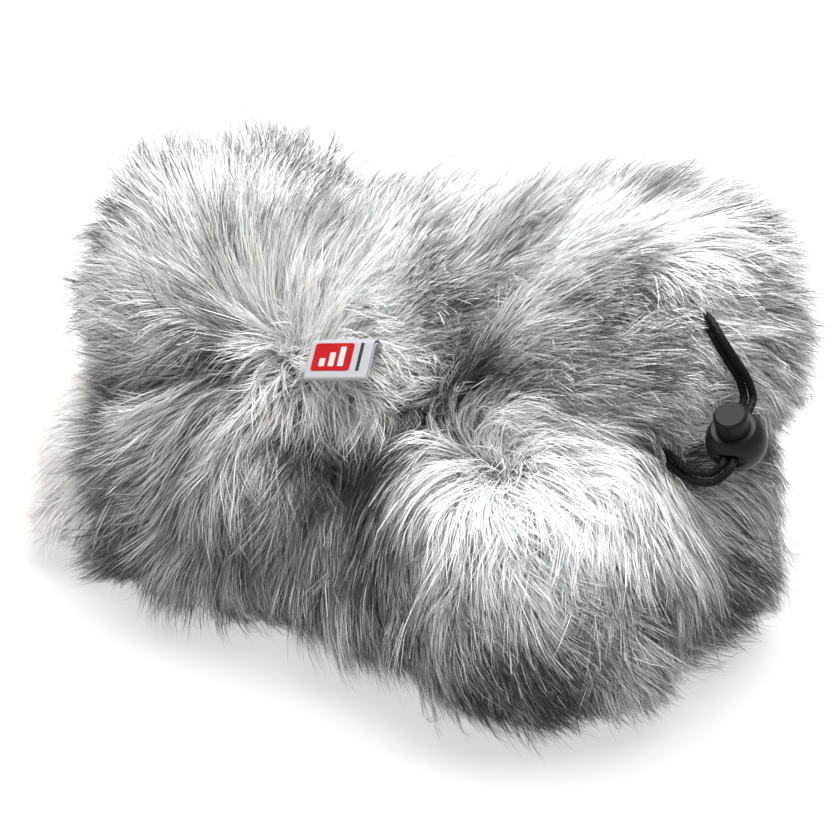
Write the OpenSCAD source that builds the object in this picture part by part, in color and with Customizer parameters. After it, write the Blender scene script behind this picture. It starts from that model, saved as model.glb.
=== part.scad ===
// Furry slip-over windscreen: a long-pile fur bag with a drawcord mouth,
// a foam lining, a sprung cord lock and a sewn-in loop label.
// Units are millimetres. +X points out of the mouth end, +Z is up and the
// bag lies on its bottom panel. All sizes are over the fur.

/* [Fur bag] */
// Length over the fur, closed end to mouth end
bag_length = 231; // [208:1:254]
// Width over the fur
bag_width = 140.5; // [127:0.5:154]
// Height over the fur as the bag lies
bag_height = 138; // [125:1:151]
// Depth of the pile and its knitted backing
pile_depth = 17; // [14:0.5:20]
// Depth of the pile where the bag lies on it
pile_pressed = 9; // [7:0.5:11]

/* [Lining and mouth] */
// Thickness of the foam lining
foam_t = 5; // [3:0.5:6]
// Radius of the mouth with the drawcord pulled
mouth_r = 10; // [9:0.5:12]
// Depth of the dimple at the mouth
mouth_dimple = 8; // [6:0.5:10]

/* [Drawcord] */
// Diameter of the elastic drawcord
cord_d = 2.4; // [2:0.1:2.4]

/* [Cord lock] */
// Diameter of the ball body
lock_d = 17.2; // [17:0.1:18]
// Diameter of the plunger
plunger_d = 9.6; // [9.4:0.1:9.6]
// Plunger travel when pressed
plunger_travel = 3.2; // [2.8:0.1:3.2]

/* [Label] */
// Width of the folded label
label_w = 20; // [16:1:24]
// Height of the label outside the seam
label_h = 13; // [10:1:15]
// Thickness of the label tape
label_t = 0.5; // [0.4:0.1:0.7]

/* [Hidden] */

fur_grey = [0.78, 0.79, 0.80];
backing_grey = [0.45, 0.46, 0.47];
foam_black = [0.16, 0.16, 0.17];
tape_black = [0.10, 0.10, 0.11];
cord_black = [0.07, 0.07, 0.08];
lock_black = [0.12, 0.12, 0.13];
spring_steel = [0.70, 0.70, 0.72];
label_grey = [0.80, 0.81, 0.82];
stitch_grey = [0.60, 0.60, 0.62];

// ---- the slack bag as a set of soft lobes ---------------------------------
// Each lobe is an ellipsoid, [centre x, y, z, radius x, y, z], drawn for a bag
// of the nominal size and scaled to the driving sizes.
nominal = [231, 140.5, 138];
lobes = [
    [6, 2, 50, 98, 46, 54],           // core
    [64, -24, 48, 51, 46, 53],        // ball at the front, mouth end
    [63, 21.5, 97, 54, 49, 41],       // upper lobe over the mouth
    [83, 33.5, 107, 24, 25, 25],      // its back corner
    [0, 9.5, 87, 58, 56, 44],         // middle of the top
    [-60, 9.5, 86, 46, 52, 45],       // top of the closed end
    [-82, -3.5, 28, 34, 46, 44],      // foot of the closed end, spread out
    [-34, -22, 42, 52, 42, 46],       // front, closed end
    [20, -18, 34, 40, 42, 37],        // front, low in the middle
    [74, 20, 42, 41, 46, 46],         // back, mouth end
    [-30, 22, 42, 58, 42, 46]         // back, closed end
];
blend_power = 14;
span = [bag_length, bag_width, bag_height];
ratio = [for (k = [0:2]) span[k] / nominal[k]];
spine_left = -48 * ratio.x;
spine_right = 58 * ratio.x;
spine_y = 0;
spine_z = 58 * ratio.z;
mouth_up = 24;
mouth_side = 6;

function scaled(l) = [
    l[0] * ratio.x, l[1] * ratio.y, l[2] * ratio.z,
    l[3] * ratio.x, l[4] * ratio.y, l[5] * ratio.z
];
LOBES = [for (l = lobes) scaled(l)];

// how far a ray from o along d runs to the far side of one lobe
function reach(o, d, l) =
    let (
        q = [(o.x - l[0]) / l[3], (o.y - l[1]) / l[4], (o.z - l[2]) / l[5]],
        k = [d.x / l[3], d.y / l[4], d.z / l[5]],
        a = k * k,
        b = q * k,
        disc = b * b - a * (q * q - 1)
    )
    disc > 0 ? max(0, (sqrt(disc) - b) / a) : 0;

function fur_radius(o, d) =
    pow(
        [for (l = LOBES) pow(reach(o, d, l), blend_power)]
            * [for (l = LOBES) 1],
        1 / blend_power
    );

function ease(x) = let (t = max(0, min(1, x))) t * t * (3 - 2 * t);

// s runs 0 to 1 round the closed end, 1 to 2 along the spine and 2 to 3 round
// the mouth end, whose pole tilts up towards the mouth
function spine(s) =
    [
        s < 1 ? spine_left
            : s < 2 ? spine_left + (spine_right - spine_left) * (s - 1)
            : spine_right,
        spine_y, spine_z
    ];
function turn(s) = s < 1 ? 180 - 90 * s : s < 2 ? 90 : 90 - 90 * (s - 2);
function out_axis(s) =
    let (w = ease(s - 2), u = mouth_up * w, e = mouth_side * w)
    [cos(u) * cos(e), cos(u) * sin(e), sin(u)];
function side_axis(s) = let (e = mouth_side * ease(s - 2)) [-sin(e), cos(e), 0];
function ray(s, v) =
    let (a = out_axis(s), e1 = side_axis(s), e2 = cross(a, e1), f = turn(s))
    cos(f) * a + sin(f) * (cos(v) * e1 + sin(v) * e2);

mouth_reach = fur_radius(spine(3), out_axis(3));
tube_start = 2.6;

// A point of the bag: s along it, v round it from +Y over the top, and depth
// in from the tips of the fur. The bag is flat where it lies on the ground.
function bag_point(s, v, depth) =
    let (
        o = spine(s),
        d = ray(s, v),
        lift = pile_pressed * depth / pile_depth,
        free = fur_radius(o, d) - depth,
        r = d.z < -0.000001 ? min(free, (spine_z - lift) / -d.z) : free,
        w = ease((s - tube_start) / (3 - tube_start)),
        a = out_axis(s),
        e1 = side_axis(s),
        lip = o + a * (mouth_reach - mouth_dimple - 0.8 * depth)
            + mouth_r * (cos(v) * e1 + sin(v) * cross(a, e1))
    )
    (o + d * r) * (1 - w) + lip * w;

// ---- closed shells on that surface ---------------------------------------
// Panel edges lie on the four long seams, at 45, 135, 225 and 315 degrees.
seam_half = 1.5;
panel_steps = 9;
function panel_v(start) =
    [for (k = [0:panel_steps]) start + seam_half + (90 - 2 * seam_half) * k / panel_steps];
round_v = [for (start = [-45, 45, 135, 225]) each panel_v(start)];

cap_s = [0.1, 0.2, 0.35, 0.5, 0.65, 0.8, 0.92, 1.0, 1.1, 1.215];
sleeve_s = [1.245, 1.37, 1.5, 1.63, 1.76, 1.89, 2.0, 2.12, 2.24, 2.36, 2.47];
collar_s = [2.5, 2.6, 2.68, 2.76, 2.84, 2.92, 3.0];

// triangles of a grid of n by m points that starts at point number k
function grid(n, m, k, flip) =
    [for (i = [0:n - 2], j = [0:m - 2], half = [0, 1])
        let (
            a = k + i * m + j,
            b = k + (i + 1) * m + j,
            t = half == 0 ? [a, b, b + 1] : [a, b + 1, a + 1]
        )
        flip ? [t[2], t[1], t[0]] : t];

// a wall between matching lists of point numbers
function wall(p, q) =
    [for (i = [0:len(p) - 2], half = [0, 1])
        half == 0 ? [p[i], p[i + 1], q[i + 1]] : [p[i], q[i + 1], q[i]]];

// a solid from faces whose corners run anticlockwise as seen from outside
module solid(points, faces) {
    polyhedron(points, [for (f = faces) [for (i = [len(f) - 1:-1:0]) f[i]]]);
}

// a flat-sided piece of the bag's wall, between two depths
module patch(ss, vs, outer, inner) {
    n = len(ss);
    m = len(vs);
    k = n * m;
    points = [
        for (s = ss, v = vs) bag_point(s, v, outer),
        for (s = ss, v = vs) bag_point(s, v, inner)
    ];
    low = [for (j = [0:m - 1]) j];
    high = [for (j = [0:m - 1]) (n - 1) * m + j];
    near = [for (i = [0:n - 1]) i * m];
    far = [for (i = [0:n - 1]) i * m + m - 1];
    solid(points, concat(
        grid(n, m, 0, true),
        grid(n, m, k, false),
        wall([for (i = low) i + k], low),
        wall(high, [for (i = high) i + k]),
        wall(near, [for (i = near) i + k]),
        wall([for (i = far) i + k], far)
    ));
}

// a band right round the bag; profile is a closed outline of [s, depth] points
module band(profile) {
    n = len(round_v);
    m = len(profile);
    points = [for (v = round_v, p = profile) bag_point(p[0], v, p[1])];
    polyhedron(points, [
        for (i = [0:n - 1], j = [0:m - 1], half = [0, 1])
            let (
                a = i * m + j,
                b = i * m + (j + 1) % m,
                c = ((i + 1) % n) * m + j,
                d = ((i + 1) % n) * m + (j + 1) % m
            )
            half == 0 ? [a, b, d] : [a, d, c]
    ]);
}
function shell_outline(ss, outer, inner) =
    concat(
        [for (s = ss) [s, outer]],
        [for (i = [len(ss) - 1:-1:0]) [ss[i], inner]]
    );

// a cup that closes over the bag's closed end
module cup(ss, outer, inner) {
    n = len(round_v);
    m = len(ss);
    points = concat(
        [for (s = ss, v = round_v) bag_point(s, v, outer)],
        [for (s = ss, v = round_v) bag_point(s, v, inner)],
        [bag_point(0, 0, outer), bag_point(0, 0, inner)]
    );
    k = n * m;
    solid(points, concat(
        [for (i = [0:m - 2], j = [0:n - 1], half = [0, 1])
            let (a = i * n + j, b = i * n + (j + 1) % n, c = a + n, d = b + n)
            half == 0 ? [a, b, d] : [a, d, c]],
        [for (i = [0:m - 2], j = [0:n - 1], half = [0, 1])
            let (a = k + i * n + j, b = k + i * n + (j + 1) % n, c = a + n, d = b + n)
            half == 0 ? [d, b, a] : [c, d, a]],
        [for (j = [0:n - 1]) [2 * k, (j + 1) % n, j]],
        [for (j = [0:n - 1]) [k + j, k + (j + 1) % n, 2 * k + 1]],
        [for (j = [0:n - 1], half = [0, 1])
            let (a = (m - 1) * n + j, b = (m - 1) * n + (j + 1) % n, c = a + k, d = b + k)
            half == 0 ? [a, b, d] : [a, d, c]]
    ));
}

// ---- cords -----------------------------------------------------------------
function unit(v) = v / norm(v);
function tangent(p, i, closed) =
    let (n = len(p))
    closed ? unit(p[(i + 1) % n] - p[(i + n - 1) % n])
        : unit(p[min(i + 1, n - 1)] - p[max(i - 1, 0)]);
function across(t) = unit(cross(t, abs(t.z) > 0.9 ? [1, 0, 0] : [0, 0, 1]));
// carries the first point's side direction along the cord without twist
function sides_of(p, i = 0, last = [0, 0, 0], closed = false) =
    i >= len(p) ? []
        : let (
            t = tangent(p, i, closed),
            n = i == 0 ? across(t) : unit(last - t * (last * t))
        )
        concat([n], sides_of(p, i + 1, n, closed));

cord_sides = 8;
module cord_tube(p, r) {
    n = len(p);
    side = sides_of(p);
    points = [for (i = [0:n - 1], k = [0:cord_sides - 1])
        let (t = tangent(p, i, false), up = cross(t, side[i]), f = 360 * k / cord_sides)
        p[i] + r * (cos(f) * side[i] + sin(f) * up)];
    solid(points, concat(
        [[for (k = [cord_sides - 1:-1:0]) k]],
        [[for (k = [0:cord_sides - 1]) (n - 1) * cord_sides + k]],
        [for (i = [0:n - 2], k = [0:cord_sides - 1], half = [0, 1])
            let (
                a = i * cord_sides + k,
                b = i * cord_sides + (k + 1) % cord_sides,
                c = a + cord_sides,
                d = b + cord_sides
            )
            half == 0 ? [a, b, d] : [a, d, c]]
    ));
}

// ---- fur and seams -----------------------------------------------------------
module fur_end_cap() {
    color(fur_grey) cup(cap_s, 0, pile_depth);
}
module fur_panel(start) {
    color(fur_grey) patch(sleeve_s, panel_v(start), 0, pile_depth);
}
module fur_top_panel() {
    fur_panel(45);
}
module fur_front_panel() {
    fur_panel(135);
}
module fur_bottom_panel() {
    fur_panel(225);
}
module fur_back_panel() {
    fur_panel(-45);
}
module fur_mouth_collar() {
    color(fur_grey) band(shell_outline(collar_s, 0, pile_depth));
}

// overlocked seams, at the depth of the knitted backing
seam_t = 3;
module long_seam(at) {
    color(backing_grey)
        patch(sleeve_s, [at - seam_half, at + seam_half], pile_depth - seam_t, pile_depth);
}
module seam_front_top() {
    long_seam(135);
}
module seam_back_top() {
    long_seam(45);
}
module seam_front_bottom() {
    long_seam(225);
}
module seam_back_bottom() {
    long_seam(315);
}
module ring_seam(low, high) {
    color(backing_grey)
        band(shell_outline([low, high], pile_depth - seam_t, pile_depth));
}
module seam_end() {
    ring_seam(1.215, 1.245);
}
module seam_mouth() {
    ring_seam(2.47, 2.5);
}

// ---- foam lining, just clear of the cloth -------------------------------------
// Its rings lie under the fur's own, so that the two never cross.
lining_gap = 1.0;
foam_outer = pile_depth + lining_gap;
foam_inner = foam_outer + foam_t;
foam_joint = 1.1;
foam_end_s = [for (s = cap_s) if (s <= foam_joint) s];
foam_sleeve_s = concat([foam_joint, 1.215], sleeve_s, [2.5, 2.55]);
module foam_end() {
    color(foam_black) cup(foam_end_s, foam_outer, foam_inner);
}
module foam_sleeve() {
    color(foam_black) band(shell_outline(foam_sleeve_s, foam_outer, foam_inner));
}

// ---- drawcord --------------------------------------------------------------
channel_s = 2.62;
channel_half = 0.045;
channel_wall = 0.012;
channel_depth = 5.2;
tape_t = 0.8;
module drawcord_channel() {
    low = channel_s - channel_half;
    high = channel_s + channel_half;
    rim = foam_outer;
    base = rim + channel_depth;
    color(tape_black) band([
        [low, rim], [low + channel_wall, rim],
        [low + channel_wall, base - tape_t], [high - channel_wall, base - tape_t],
        [high - channel_wall, rim], [high, rim],
        [high, base], [low, base]
    ]);
}
ring_depth = foam_outer + (channel_depth - tape_t) / 2;
module drawcord_ring() {
    p = [for (v = round_v) bag_point(channel_s, v, ring_depth)];
    n = len(p);
    points = [for (i = [0:n - 1], k = [0:cord_sides - 1])
        let (
            t = tangent(p, i, true),
            o = unit(ray(channel_s, round_v[i])),
            e = unit(o - t * (o * t)),
            f = 360 * k / cord_sides
        )
        p[i] + cord_d / 2 * (cos(f) * e + sin(f) * cross(t, e))];
    color(cord_black) solid(points, [
        for (i = [0:n - 1], k = [0:cord_sides - 1], half = [0, 1])
            let (
                a = i * cord_sides + k,
                b = i * cord_sides + (k + 1) % cord_sides,
                c = ((i + 1) % n) * cord_sides + k,
                d = ((i + 1) % n) * cord_sides + (k + 1) % cord_sides
            )
            half == 0 ? [a, b, d] : [a, d, c]
    ]);
}

// ---- cord lock ---------------------------------------------------------------
// Local frame: +Z is the plunger's axis, +X the way the tails leave.
lock_at = [119.5, -10, 92];
lock_tilt = 27;
lock_roll = -80;
module at_lock() {
    translate(lock_at) rotate([lock_tilt, 0, 0]) rotate([0, 0, lock_roll]) children();
}
function lock_point(p) =
    let (
        x = p.x * cos(lock_roll) - p.y * sin(lock_roll),
        y = p.x * sin(lock_roll) + p.y * cos(lock_roll)
    )
    lock_at + [
        x,
        y * cos(lock_tilt) - p.z * sin(lock_tilt),
        y * sin(lock_tilt) + p.z * cos(lock_tilt)
    ];

lock_top = 6;
lock_floor = -6.6;
lock_base = -8;
bore_z = 1.4;
bore_w = 5.4;
bore_h = 2.8;
plunger_gap = 0.08;
plunger_out = 6;
plunger_bottom = -1.5;
strand_gap = 0.1;

module cord_bore(length, width, height) {
    for (side = [-1, 1])
        translate([0, side * (width - height) / 2, bore_z])
            rotate([0, 90, 0])
                cylinder(h = length, d = height, center = true, $fn = 32);
    translate([0, 0, bore_z])
        cube([length, width - height, height], center = true);
}

module lock_body() {
    r = lock_d / 2;
    color(lock_black) at_lock() difference() {
        intersection() {
            sphere(r = r, $fn = 64);
            translate([0, 0, lock_base])
                cylinder(h = lock_top - lock_base, r = r, $fn = 64);
        }
        translate([0, 0, lock_floor])
            cylinder(h = lock_top - lock_floor + 1, r = plunger_d / 2 + plunger_gap, $fn = 64);
        cord_bore(2 * lock_d, bore_w, bore_h);
        // scoops where the cord runs in and out
        for (side = [-1, 1])
            translate([side * (r + 1.2), 0, bore_z])
                rotate([90, 0, 0])
                    cylinder(h = 2 * lock_d, r = 2.9, center = true, $fn = 48);
    }
}

module lock_plunger() {
    top = lock_top + plunger_out;
    rim = 0.8;
    r = plunger_d / 2;
    slot_low = bore_z - cord_d / 2 - strand_gap;
    slot_high = bore_z + cord_d / 2 + strand_gap + plunger_travel;
    color(lock_black) at_lock() difference() {
        union() {
            translate([0, 0, plunger_bottom])
                cylinder(h = top - rim - plunger_bottom, r = r, $fn = 64);
            translate([0, 0, top - rim])
                cylinder(h = rim, r1 = r, r2 = r - rim, $fn = 64);
        }
        translate([-lock_d / 2, -bore_w / 2, slot_low])
            cube([lock_d, bore_w, slot_high - slot_low]);
    }
}

spring_turns = 3;
spring_steps = 14;
wire_d = 0.5;
module lock_spring() {
    low = lock_floor + wire_d / 2 + 0.02;
    high = plunger_bottom - wire_d / 2 - 0.02;
    n = spring_turns * spring_steps;
    r = plunger_d / 2 - 0.8;
    path = [for (i = [0:n])
        lock_point([
            r * cos(360 * i / spring_steps),
            r * sin(360 * i / spring_steps),
            low + (high - low) * i / n
        ])];
    color(spring_steel) cord_tube(path, wire_d / 2);
}

// ---- the drawcord's two free strands --------------------------------------
// Both leave the fur over the mouth, run side by side through the lock and
// go back into the fur in front of the mouth.
strand_side = 1.3;
strand_high = [
    [100, 5, 118.5], [104, 1.5, 119], [108, -0.5, 116], [112, 0, 110.5], [115, 2, 104.5]
];
strand_high_apart = [0.3, -0.6, 0.9];
strand_low = [
    [119, -21.5, 86], [115.5, -22.5, 85], [110.5, -21.5, 84.5], [105, -18.5, 84.5],
    [98.5, -13.5, 83.5]
];
strand_low_apart = [0.1, -0.9, -0.9];
strand_mid = concat(
    strand_high,
    [for (x = [-14:4:10]) lock_point([x, 0, bore_z])],
    strand_low
);
lock_across = lock_point([0, 1, 0]) - lock_at;
// which way the strands lie apart at a point: across the lock near it, then by
// degrees as they lie at the fur, and always square to the cord
function apart(i) =
    let (
        high = len(strand_high),
        low = len(strand_mid) - len(strand_low),
        w = i < high ? 1 - (i + 1) / (high + 1)
            : i < low ? 0 : (i - low + 1) / (len(strand_low) + 1),
        to = unit(i < high ? strand_high_apart : strand_low_apart),
        t = tangent(strand_mid, i, false),
        v = lock_across * (1 - w) + to * w
    )
    unit(v - t * (v * t));
function strand_path(side) =
    [for (i = [0:len(strand_mid) - 1]) strand_mid[i] + side * strand_side * apart(i)];
module cord_strand_outer() {
    color(cord_black) cord_tube(strand_path(1), cord_d / 2);
}
module cord_strand_inner() {
    color(cord_black) cord_tube(strand_path(-1), cord_d / 2);
}

// ---- loop label in the front top seam --------------------------------------
// Local frame: +X along the seam, +Z up the label's face, +Y in towards the
// seam. The folded tape runs out through the pile and bends down over it.
label_at = [11.5, -41.5, 108];
label_turn = [-52, -12, 8];
label_gap = 0.6;
label_root = [19, -3.5];
label_bend = 2;
module at_label() {
    translate(label_at) rotate(label_turn) children();
}
// the middle of the fold, from the seam out and down to the fold's own centre
label_path = concat(
    [label_root],
    [for (a = [90:15:180]) label_bend * [1 + cos(a), sin(a) - 1]],
    [[0, label_gap / 2 + label_t - label_h]]
);
function path_normal(p, i) =
    let (t = tangent(p, i, false))
    [-t.y, t.x];
// both legs and the fold at a distance off from the middle
function fold_outline(off) =
    let (
        p = label_path,
        n = len(p),
        tip = p[n - 1]
    )
    concat(
        [for (i = [0:n - 1]) p[i] - off * path_normal(p, i)],
        [for (a = [195:15:345]) tip + off * [cos(a), sin(a)]],
        [for (i = [n - 1:-1:0]) p[i] + off * path_normal(p, i)]
    );
module label_tape() {
    outer = fold_outline(label_gap / 2 + label_t);
    inner = fold_outline(label_gap / 2);
    color(label_grey) at_label()
        rotate([90, 0, 90])
            linear_extrude(label_w, center = true)
                polygon(concat(outer, [for (i = [len(inner) - 1:-1:0]) inner[i]]));
}
stitch_d = 0.4;
module label_stitches() {
    count = 9;
    pitch = label_w / count;
    outer = label_gap / 2 + label_t;
    slope = atan2(label_root.y, label_root.x - label_bend);
    color(stitch_grey) at_label()
        translate([0, label_root.x, label_root.y])
            rotate([slope, 0, 0])
                translate([0, -1.5, outer + stitch_d / 2])
                    rotate([0, 90, 0]) {
                        // the thread is thinner where it dips between its stitches
                        cylinder(h = (count - 1) * pitch, d = stitch_d / 2, center = true, $fn = 16);
                        for (k = [0:count - 1])
                            translate([0, 0, (k - (count - 1) / 2) * pitch])
                                cylinder(h = pitch * 0.6, d = stitch_d, center = true, $fn = 16);
                    }
}

fur_end_cap();
fur_top_panel();
fur_front_panel();
fur_bottom_panel();
fur_back_panel();
fur_mouth_collar();
seam_front_top();
seam_back_top();
seam_front_bottom();
seam_back_bottom();
seam_end();
seam_mouth();
foam_end();
foam_sleeve();
drawcord_channel();
drawcord_ring();
cord_strand_outer();
cord_strand_inner();
lock_body();
lock_plunger();
lock_spring();
label_tape();
label_stitches();
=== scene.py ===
"""A furry slip-over windscreen: six panels of long-pile cloth round a foam lining,
a drawcord with a sprung cord lock, and a folded label in the front top seam.

The shape code works in millimetres, in the CAD's own frame; make_mesh turns them
into metres. Nothing is random without a seed.
"""
import math

import bmesh
import bpy
import numpy as np
from mathutils import Matrix


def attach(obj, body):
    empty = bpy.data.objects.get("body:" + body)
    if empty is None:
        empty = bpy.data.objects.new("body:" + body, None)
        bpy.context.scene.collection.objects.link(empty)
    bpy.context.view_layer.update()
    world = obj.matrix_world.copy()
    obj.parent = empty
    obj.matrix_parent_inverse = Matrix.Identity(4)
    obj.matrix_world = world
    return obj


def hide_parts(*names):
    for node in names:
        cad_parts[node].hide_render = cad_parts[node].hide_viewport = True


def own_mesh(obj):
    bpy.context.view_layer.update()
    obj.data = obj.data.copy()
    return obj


MM = 0.001

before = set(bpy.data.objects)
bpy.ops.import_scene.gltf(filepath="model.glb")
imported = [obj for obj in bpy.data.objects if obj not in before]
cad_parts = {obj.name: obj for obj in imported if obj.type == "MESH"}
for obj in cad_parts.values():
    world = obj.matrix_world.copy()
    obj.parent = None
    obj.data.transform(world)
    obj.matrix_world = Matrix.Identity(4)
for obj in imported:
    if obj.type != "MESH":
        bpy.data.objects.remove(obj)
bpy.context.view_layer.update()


# ---- camera ----------------------------------------------------------------------
VIEW_TURN = 32  # degrees from the front towards the mouth end
VIEW_RISE = 28
VIEW_DISTANCE = 0.8
VIEW_TARGET = (0.008, 0.0, 0.060)
LENS = 113
VIEW_SHIFT = 0.0095


def add_camera():
    turn, rise = math.radians(VIEW_TURN), math.radians(VIEW_RISE)
    back = (
        math.sin(turn) * math.cos(rise),
        -math.cos(turn) * math.cos(rise),
        math.sin(rise),
    )
    data = bpy.data.cameras.new("camera")
    data.lens = LENS
    data.sensor_width = 36
    data.shift_x = VIEW_SHIFT
    data.shift_y = VIEW_SHIFT
    data.clip_start = 0.05
    data.clip_end = 10
    camera = bpy.data.objects.new("camera", data)
    camera.location = [t + VIEW_DISTANCE * b for t, b in zip(VIEW_TARGET, back)]
    camera.rotation_euler = (math.pi / 2 - rise, 0, turn)
    bpy.context.scene.collection.objects.link(camera)
    bpy.context.scene.camera = camera


# ---- the bag's surface, as in part.scad -----------------------------------------
# Each lobe is an ellipsoid: centre x, y, z and radius x, y, z.
LOBES = np.array([
    [6, 2, 50, 98, 46, 54],  # core
    [64, -24, 48, 51, 46, 53],  # ball at the front, mouth end
    [63, 21.5, 97, 54, 49, 41],  # upper lobe over the mouth
    [83, 33.5, 107, 24, 25, 25],  # its back corner
    [0, 9.5, 87, 58, 56, 44],  # middle of the top
    [-60, 9.5, 86, 46, 52, 45],  # top of the closed end
    [-82, -3.5, 28, 34, 46, 44],  # foot of the closed end, spread out
    [-34, -22, 42, 52, 42, 46],  # front, closed end
    [20, -18, 34, 40, 42, 37],  # front, low in the middle
    [74, 20, 42, 41, 46, 46],  # back, mouth end
    [-30, 22, 42, 58, 42, 46],  # back, closed end
])
BLEND_POWER = 14
SPINE_LEFT = -48.0
SPINE_RIGHT = 58.0
SPINE_Y = 0.0
SPINE_Z = 58.0
MOUTH_UP = 24
MOUTH_SIDE = 6
MOUTH_R = 10
MOUTH_DIMPLE = 8
PILE = 17.0
PILE_PRESSED = 9.0
TUBE_START = 2.6
FOLD_REACH = 10.0  # how far to each side hollow() looks
# Where the two ring seams are along the bag, and the four long ones round it.
END_SEAM = 1.23
MOUTH_SEAM = 2.485
SEAM_SPAN = (1.245, 2.47)  # the long seams stop short of the ring seams
LONG_SEAMS = {"front_top": 135, "back_top": 45, "front_bottom": 225, "back_bottom": 315}
FULL_TURN = (-45, 315)
PANELS = {
    "fur_end_cap": ((0.04, END_SEAM), FULL_TURN),
    "fur_top_panel": ((END_SEAM, MOUTH_SEAM), (45, 135)),
    "fur_front_panel": ((END_SEAM, MOUTH_SEAM), (135, 225)),
    "fur_bottom_panel": ((END_SEAM, MOUTH_SEAM), (225, 315)),
    "fur_back_panel": ((END_SEAM, MOUTH_SEAM), (-45, 45)),
    "fur_mouth_collar": ((MOUTH_SEAM, 2.97), FULL_TURN),
}


def ease(x):
    t = np.clip(x, 0, 1)
    return t * t * (3 - 2 * t)


def unit(v):
    return v / np.maximum(np.linalg.norm(v, axis=-1, keepdims=True), 1e-9)


def far_side(o, d):
    """How far the soft union of the lobes reaches from o along d."""
    total = np.zeros(d.shape[:-1])
    for lobe in LOBES:
        q, k = (o - lobe[:3]) / lobe[3:], d / lobe[3:]
        a, b, c = (k * k).sum(-1), (q * k).sum(-1), (q * q).sum(-1) - 1
        inside = b * b - a * c
        hit = np.where(inside > 0, (np.sqrt(np.maximum(inside, 0)) - b) / a, 0)
        total += np.maximum(hit, 0) ** BLEND_POWER
    return total ** (1 / BLEND_POWER)


def limited(reach, d, depth):
    """The reach at a depth in the pile, cut flat where the bag lies on the floor."""
    floor = PILE_PRESSED * np.maximum(depth, 0) / PILE
    drop = np.maximum(-d[..., 2], 1e-6)
    return np.minimum(reach - depth, np.where(d[..., 2] < -1e-6, (SPINE_Z - floor) / drop, 1e9))


def mouth_axes(s):
    w = ease(s - 2)
    up, side = np.radians(MOUTH_UP * w), np.radians(MOUTH_SIDE * w)
    out = np.stack([np.cos(up) * np.cos(side), np.cos(up) * np.sin(side), np.sin(up)], -1)
    e1 = np.stack([-np.sin(side), np.cos(side), 0 * side], -1)
    return out, e1, np.cross(out, e1)


def spine_at(x):
    return np.stack([x, np.full_like(x, SPINE_Y), np.full_like(x, SPINE_Z)], -1)


def turn_in(steps):
    """A full turn round the bag in so many steps, in degrees."""
    return np.linspace(*FULL_TURN, steps + 1)[:-1]


def bag_point(s, v, depth=0.0):
    """A point of the bag: s along it, v round it in degrees, depth in from the tips."""
    s, v, depth = np.broadcast_arrays(*(np.asarray(a, float) for a in (s, v, depth)))
    turn = np.radians(np.where(s < 1, 180 - 90 * s, np.where(s < 2, 90, 270 - 90 * s)))
    o = spine_at(SPINE_LEFT + (SPINE_RIGHT - SPINE_LEFT) * np.clip(s - 1, 0, 1))
    out, e1, e2 = mouth_axes(s)
    ring = np.cos(np.radians(v))[..., None] * e1 + np.sin(np.radians(v))[..., None] * e2
    d = np.cos(turn)[..., None] * out + np.sin(turn)[..., None] * ring
    skin = o + d * limited(far_side(o, d), d, depth)[..., None]
    lip = o + out * (MOUTH_REACH - MOUTH_DIMPLE - 0.8 * depth)[..., None] + MOUTH_R * ring
    w = ease((s - TUBE_START) / (3 - TUBE_START))[..., None]
    return skin * (1 - w) + lip * w


MOUTH_OUT = mouth_axes(np.float64(3))[0]
MOUTH_FROM = np.array([SPINE_RIGHT, SPINE_Y, SPINE_Z])
MOUTH_REACH = float(far_side(MOUTH_FROM, MOUTH_OUT))
MOUTH_LIP = MOUTH_FROM + MOUTH_OUT * (MOUTH_REACH - MOUTH_DIMPLE)


def from_spine(p):
    """The spine's nearest point and the direction from it."""
    o = spine_at(np.clip(p[..., 0], SPINE_LEFT, SPINE_RIGHT))
    return o, unit(p - o)


def on_skin(p, depth):
    """Moves points in or out to a depth in the pile."""
    o, d = from_spine(p)
    return o + d * limited(far_side(o, d), d, depth)[..., None]


def height(p):
    o, d = from_spine(p)
    return np.linalg.norm(p - o, axis=-1) - far_side(o, d)


def normal_at(p, step=1.5):
    """Which way is straight out of the bag."""
    slope = [height(p + step * axis) - height(p - step * axis) for axis in np.eye(3)]
    return unit(np.stack(slope, -1))


def hollow(p):
    """How far down in a fold between two lobes each point of the bag is, 0 to 1."""
    q = on_skin(p, np.zeros(len(p)))
    normal = normal_at(q)
    side = unit(np.cross(normal, (0.3, 0.5, 0.8)))
    up = np.cross(normal, side)
    rise = np.zeros(len(p))
    for turn in np.radians(np.arange(0, 360, 60)):
        rise += height(q + FOLD_REACH * (math.cos(turn) * side + math.sin(turn) * up)) / 6
    return ease((0.4 - rise) / 2.4)


def noise(p, size, seed):
    """Smooth noise from -1 to 1 that changes over about size."""
    table = np.random.default_rng(seed).uniform(-1, 1, (16, 16, 16))
    q = p / size
    cell = np.floor(q).astype(int)
    f = q - cell
    f = f * f * (3 - 2 * f)
    total = np.zeros(len(p))
    for corner in np.ndindex(2, 2, 2):
        weight = np.prod([f[:, k] if c else 1 - f[:, k] for k, c in enumerate(corner)], axis=0)
        i, j, k = (cell + corner).T % 16
        total += weight * table[i, j, k]
    return 1.6 * total


# ---- where the lock, cords and label are, as in part.scad -------------------------
def rotation(x, y, z):
    """Turns about x, then y, then z, in degrees, as one matrix."""
    (a, b, c), (d, e, f) = np.cos(np.radians([x, y, z])), np.sin(np.radians([x, y, z]))
    about_x = np.array([[1, 0, 0], [0, a, -d], [0, d, a]])
    about_y = np.array([[b, 0, e], [0, 1, 0], [-e, 0, b]])
    about_z = np.array([[c, -f, 0], [f, c, 0], [0, 0, 1]])
    return about_z @ about_y @ about_x


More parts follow.
